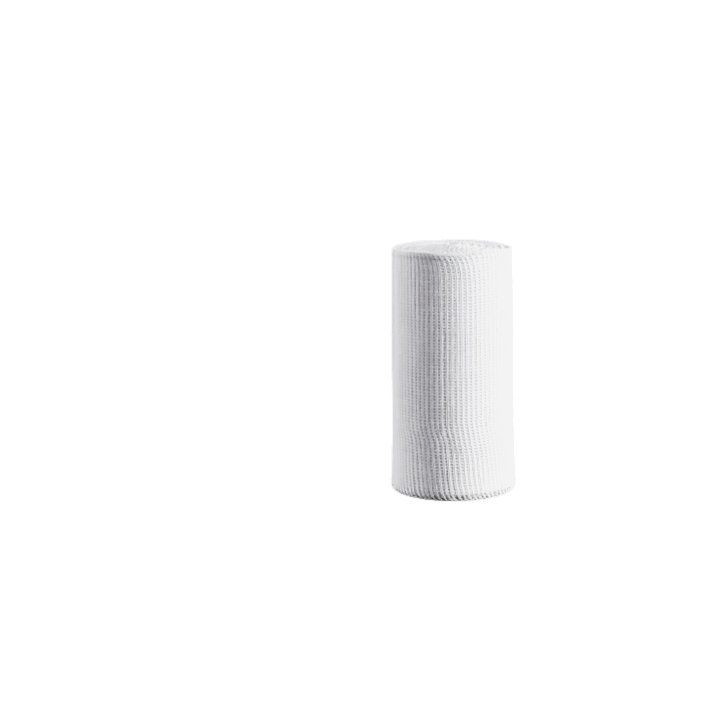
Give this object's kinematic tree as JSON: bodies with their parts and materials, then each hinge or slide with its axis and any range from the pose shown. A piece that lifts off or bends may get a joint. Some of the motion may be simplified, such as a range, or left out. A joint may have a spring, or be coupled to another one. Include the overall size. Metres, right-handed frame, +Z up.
{
  "type": "gauze bandage roll",
  "caption": "Roll of white elastic gauze bandage standing on end, ribbed along its length, with its wound turns showing at both ends.",
  "frame": {"origin": "centre of the foot, on the surface that the roll stands on", "axes": "+Z up along the roll's axis, -Y towards the viewer of the picture, with the strip's outer end at the back"},
  "size_m": [0.0515, 0.0519, 0.1002],
  "materials": {
    "gauze": "matt white open gauze of cotton and crimped elastic threads"
  },
  "bodies": {
    "root": {"gauze_roll": "gauze"}
  },
  "joints": []
}
